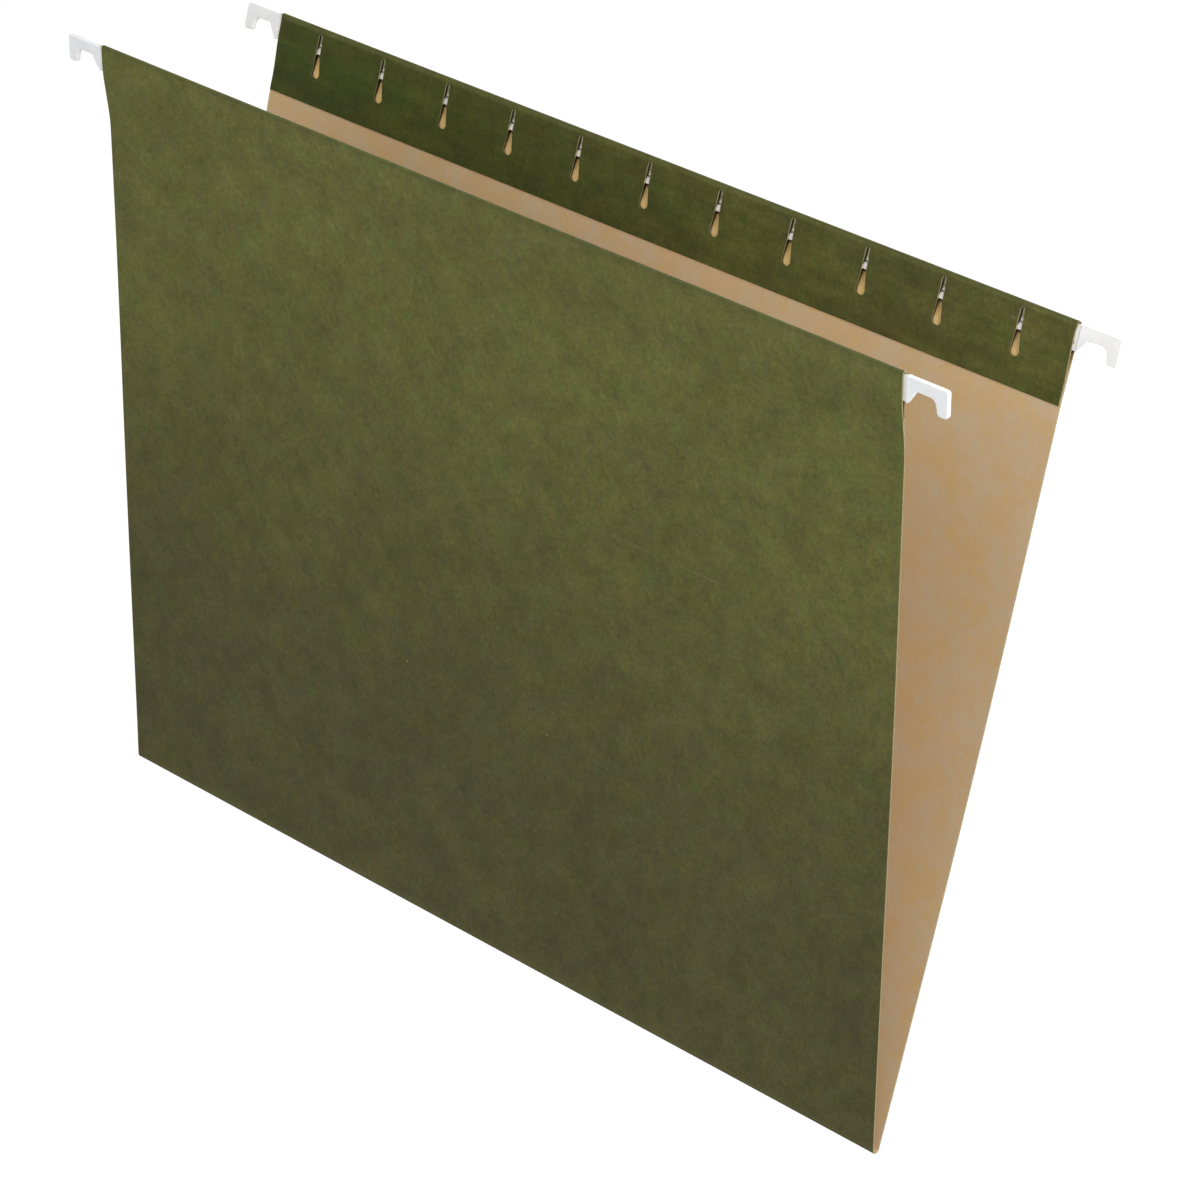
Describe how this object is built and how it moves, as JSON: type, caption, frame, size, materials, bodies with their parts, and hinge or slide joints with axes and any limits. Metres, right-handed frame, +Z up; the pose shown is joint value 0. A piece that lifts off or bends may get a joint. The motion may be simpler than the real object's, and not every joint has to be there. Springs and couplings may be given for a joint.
{
  "type": "hanging file folder",
  "caption": "Creased paper pocket with slotted inner flaps, hung from hooked metal rods on the rails of a filing drawer; opens and closes at its bottom fold.",
  "frame": {"origin": "middle of the bottom fold's underside", "axes": "+X along the fold to the right as seen from the front, +Y from the front panel to the back panel, +Z up"},
  "size_m": [0.3272, 0.0714, 0.2324],
  "materials": {
    "folder_board": "matte",
    "rod_steel": "satin",
    "hook_coat": "satin",
    "glue": "matte"
  },
  "bodies": {
    "back_rod_unit": {"back_rod": "rod_steel", "back_left_hook_tip": "hook_coat", "back_right_hook_tip": "hook_coat"},
    "back_sheet": {"back_panel": "folder_board", "back_top_fold": "folder_board", "back_flap": "folder_board", "back_lap": "folder_board", "back_glue_line": "glue", "bottom_fold": "folder_board"},
    "front_sheet": {"front_panel": "folder_board", "front_top_fold": "folder_board", "front_flap": "folder_board", "front_lap": "folder_board", "front_glue_line": "glue"},
    "front_rod_unit": {"front_rod": "rod_steel", "front_left_hook_tip": "hook_coat", "front_right_hook_tip": "hook_coat"}
  },
  "joints": [
    {"name": "back_sheet_slide", "type": "slide", "parent": "back_rod_unit", "child": "back_sheet", "axis": [1, 0, 0], "range_m": [-0.001, 0.001]},
    {"name": "bottom_fold_hinge", "type": "hinge", "parent": "back_sheet", "child": "front_sheet", "pos_m": [0, 0, 0.00014], "axis": [1, 0, 0], "range_deg": [-16.4, 163], "deforming": ["bottom_fold"]},
    {"name": "front_rod_slide", "type": "slide", "parent": "front_sheet", "child": "front_rod_unit", "axis": [1, 0, 0], "range_m": [-0.001, 0.001]}
  ]
}
